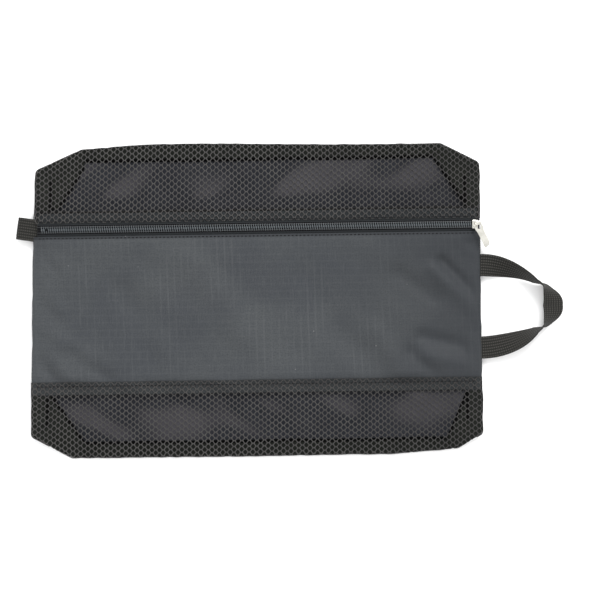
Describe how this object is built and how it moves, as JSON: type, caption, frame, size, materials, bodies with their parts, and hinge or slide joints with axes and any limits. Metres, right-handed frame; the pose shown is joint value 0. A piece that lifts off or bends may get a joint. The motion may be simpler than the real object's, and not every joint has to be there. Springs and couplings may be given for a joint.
{
  "type": "shoe bag",
  "caption": "Flat zipped pouch for carrying shoes, nylon with see-through mesh sides, a webbing carry handle and a folded side loop.",
  "frame": {"origin": "middle of the back face, where the bag lies on the table", "axes": "+X towards the handle end, +Y towards the zipped long edge, +Z out of the front"},
  "size_m": [0.49, 0.28, 0.0215],
  "materials": {
    "nylon": "dark grey plain-weave nylon with faint slubs",
    "mesh": "black polyester mesh with round holes",
    "zip_tape": "black woven zip tape",
    "coil": "black polyester coil",
    "nickel": "bright nickel plate",
    "webbing": "black ribbed webbing",
    "binding": "black binding tape",
    "thread": "black polyester thread"
  },
  "bodies": {
    "bag": {"back_panel": "nylon", "upper_mesh_gusset": "mesh", "lower_mesh": "mesh", "left_side_binding": "binding", "right_side_binding": "binding", "upper_back_binding": "binding", "lower_back_binding": "binding", "mesh_seam_stitch": "thread", "upper_back_stitch": "thread", "lower_back_stitch": "thread", "left_side_stitch": "thread", "right_side_stitch": "thread", "handle_bartacks": "thread", "loop_bartack": "thread"},
    "upper_lip": {"upper_mesh": "mesh", "upper_zip_tape": "zip_tape", "upper_coil": "coil", "upper_zip_stitch": "thread"},
    "lower_lip": {"front_panel": "nylon", "lower_zip_tape": "zip_tape", "lower_coil": "coil", "lower_zip_stitch": "thread"},
    "slider": {"slider_body": "nickel"},
    "pull": {"pull_tab": "nickel"},
    "handle": {"handle_webbing": "webbing"},
    "side_loop": {"loop_webbing": "webbing"}
  },
  "joints": [
    {"name": "zip_slide", "type": "slide", "parent": "bag", "child": "slider", "axis": [-1, 0, 0], "range_m": [0, 0.385]},
    {"name": "pull_lift", "type": "hinge", "parent": "slider", "child": "pull", "pos_m": [0.1975, 0.0655, 0.01515], "axis": [-0.8988, -0.4384, 0], "range_deg": [0, 150]},
    {"name": "upper_lip_open", "type": "hinge", "parent": "bag", "child": "upper_lip", "pos_m": [0, 0.1396, 0.0116], "axis": [-1, 0, 0], "range_deg": [0, 36], "deforming": ["upper_mesh", "upper_zip_tape", "upper_coil", "upper_zip_stitch"]},
    {"name": "lower_lip_open", "type": "hinge", "parent": "bag", "child": "lower_lip", "pos_m": [0, -0.0712, 0.0116], "axis": [1, 0, 0], "range_deg": [0, 15], "deforming": ["front_panel", "lower_zip_tape", "lower_coil", "lower_zip_stitch"]},
    {"name": "handle_fold", "type": "hinge", "parent": "bag", "child": "handle", "pos_m": [0.201, -0.008, 0.006], "axis": [0, -1, 0], "range_deg": [-40, 85]},
    {"name": "side_loop_flex", "type": "hinge", "parent": "bag", "child": "side_loop", "pos_m": [-0.2009, 0.0655, 0.006], "axis": [0, 1, 0], "range_deg": [-45, 45], "stiffness_Nm_per_rad": 0.01}
  ],
  "couplings": [
    {"joint": "upper_lip_open", "follows": "zip_slide", "rad_per_m": 1.5866},
    {"joint": "lower_lip_open", "follows": "zip_slide", "rad_per_m": 0.6346}
  ]
}
